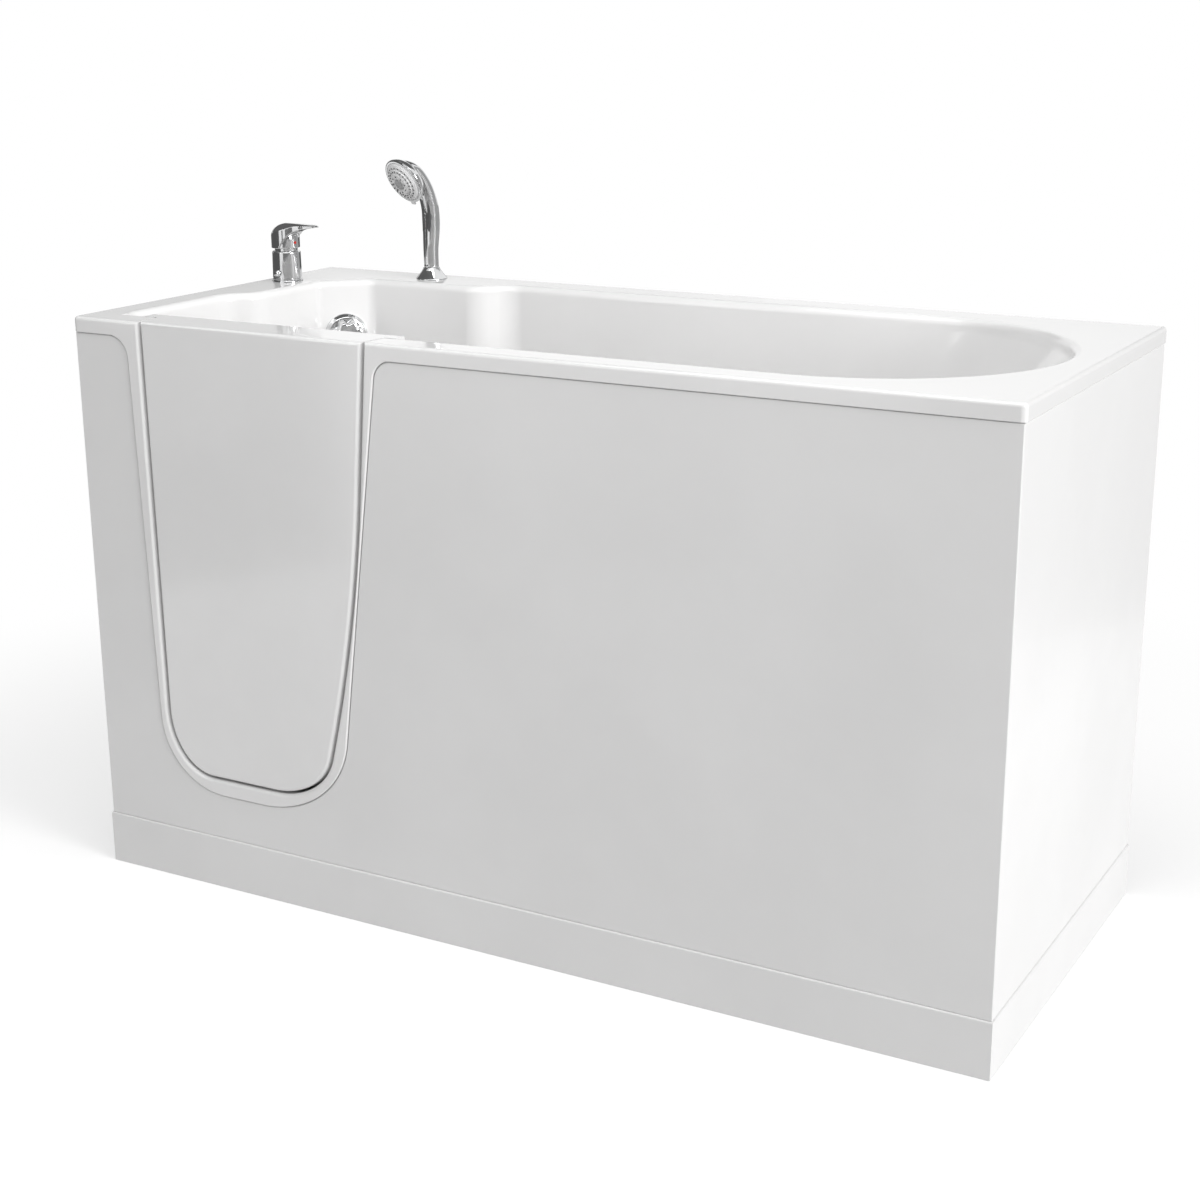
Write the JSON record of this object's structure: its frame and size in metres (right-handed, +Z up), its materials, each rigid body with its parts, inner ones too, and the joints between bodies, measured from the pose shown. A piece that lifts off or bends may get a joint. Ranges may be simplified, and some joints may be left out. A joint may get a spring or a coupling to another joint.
{
  "type": "walk-in bathtub",
  "caption": "Seated bath with an inward-opening door in its front, a deck mixer, a hand shower and a turn-knob overflow filler.",
  "frame": {"origin": "centre of the tub's footprint, on the floor it stands on", "axes": "+X along the tub's length, away from the end with the taps; +Y from the front with the door towards the wall behind; +Z up"},
  "size_m": [1.5, 0.66, 1.1054],
  "materials": {
    "tub_acrylic": "glossy white moulded acrylic",
    "panel_acrylic": "satin white sheet",
    "frame_steel": "grey powder coat on square steel tube",
    "zinc_steel": "zinc plate, slightly dull",
    "stainless": "brushed stainless steel",
    "chrome_brass": "polished chrome plate",
    "brass": "plain machined brass",
    "copper": "drawn copper tube",
    "white_plastic": "matt white moulded plastic",
    "grey_plastic": "matt light grey plastic",
    "dark_rubber": "matt black rubber",
    "seal_rubber": "soft grey seal rubber",
    "timber": "plain sawn softwood",
    "red_enamel": "small glossy red dot"
  },
  "bodies": {
    "tub": {"tub_shell": "tub_acrylic", "front_panel": "panel_acrylic", "end_panel": "panel_acrylic", "front_plinth": "panel_acrylic", "end_plinth": "panel_acrylic", "front_rail": "frame_steel", "back_rail": "frame_steel", "cross_rails": "frame_steel", "corner_posts": "frame_steel", "seat_props": "frame_steel", "seat_bearers": "frame_steel", "foot_studs": "zinc_steel", "foot_pads": "dark_rubber", "foot_locknuts": "zinc_steel", "plinth_brackets": "zinc_steel", "panel_clips": "zinc_steel", "hinge_frame_leaves": "stainless", "hinge_pins": "stainless", "latch_keeper": "stainless", "keeper_screws": "stainless", "waste_flange": "chrome_brass", "waste_gasket": "dark_rubber", "waste_nut": "white_plastic", "waste_trap": "white_plastic", "outlet_pipe": "white_plastic", "overflow_rosette": "chrome_brass", "overflow_gasket": "dark_rubber", "overflow_body": "white_plastic", "overflow_pipe": "white_plastic", "popup_cable": "dark_rubber", "cable_clips": "white_plastic", "filler_pipe": "copper", "mixer_base_ring": "chrome_brass", "mixer_body": "chrome_brass", "mixer_cartridge": "grey_plastic", "mixer_shank": "brass", "mixer_locknut": "brass", "copper_tails": "copper", "shower_holder": "chrome_brass", "holder_sleeve": "brass"},
    "door": {"door_outer_shell": "tub_acrylic", "door_inner_shell": "tub_acrylic", "door_core": "timber", "door_seal": "seal_rubber", "hinge_door_leaves": "stainless", "hinge_screws": "stainless", "latch_housing": "white_plastic"},
    "latch_handle": {"latch_lever": "chrome_brass", "latch_spindle": "stainless"},
    "latch_tongue": {"latch_bolt": "stainless"},
    "mixer_turn": {"mixer_stem": "brass"},
    "mixer_handle": {"mixer_lever": "chrome_brass", "lever_dot": "red_enamel"},
    "diverter": {"diverter_knob": "chrome_brass"},
    "overflow_turner": {"overflow_knob": "chrome_brass"},
    "plug": {"waste_plug": "chrome_brass"},
    "handset": {"handset_body": "chrome_brass", "spray_plate": "grey_plastic", "spray_nozzles": "dark_rubber"},
    "spray_ring": {"spray_selector": "chrome_brass"}
  },
  "joints": [
    {"name": "door_hinge", "type": "hinge", "parent": "tub", "child": "door", "pos_m": [-0.658, -0.277, 0.565], "axis": [0, 0, 1], "range_deg": [0, 74]},
    {"name": "latch_turn", "type": "hinge", "parent": "door", "child": "latch_handle", "pos_m": [-0.266, -0.24, 0.7], "axis": [0, -1, 0], "range_deg": [0, 90]},
    {"name": "latch_slide", "type": "slide", "parent": "door", "child": "latch_tongue", "axis": [1, 0, 0], "range_m": [0, 0.024]},
    {"name": "mixer_swivel", "type": "hinge", "parent": "tub", "child": "mixer_turn", "pos_m": [-0.7, 0.14, 0.95], "axis": [0, 0, 1], "range_deg": [-50, 50]},
    {"name": "mixer_lift", "type": "hinge", "parent": "mixer_turn", "child": "mixer_handle", "pos_m": [-0.714, 0.14, 0.96], "axis": [0, -1, 0], "range_deg": [0, 18]},
    {"name": "diverter_pull", "type": "slide", "parent": "tub", "child": "diverter", "axis": [0, -1, 0], "range_m": [0, 0.006]},
    {"name": "overflow_turn", "type": "hinge", "parent": "tub", "child": "overflow_turner", "pos_m": [-0.618, 0.19, 0.806], "axis": [0.7071, -0.7071, 0], "range_deg": [0, 90]},
    {"name": "plug_lift", "type": "slide", "parent": "tub", "child": "plug", "axis": [0, 0, 1], "range_m": [0, 0.01]},
    {"name": "handset_lift", "type": "slide", "parent": "tub", "child": "handset", "axis": [0, 0, 1], "range_m": [0, 0.06]},
    {"name": "selector_turn", "type": "hinge", "parent": "handset", "child": "spray_ring", "pos_m": [-0.51509, 0.21318, 1.062], "axis": [-0.2703, -0.8318, -0.4848], "range_deg": [-30, 30]}
  ],
  "couplings": [
    {"joint": "latch_slide", "follows": "latch_turn", "m_per_rad": 0.015279},
    {"joint": "plug_lift", "follows": "overflow_turn", "m_per_rad": 0.006366}
  ]
}
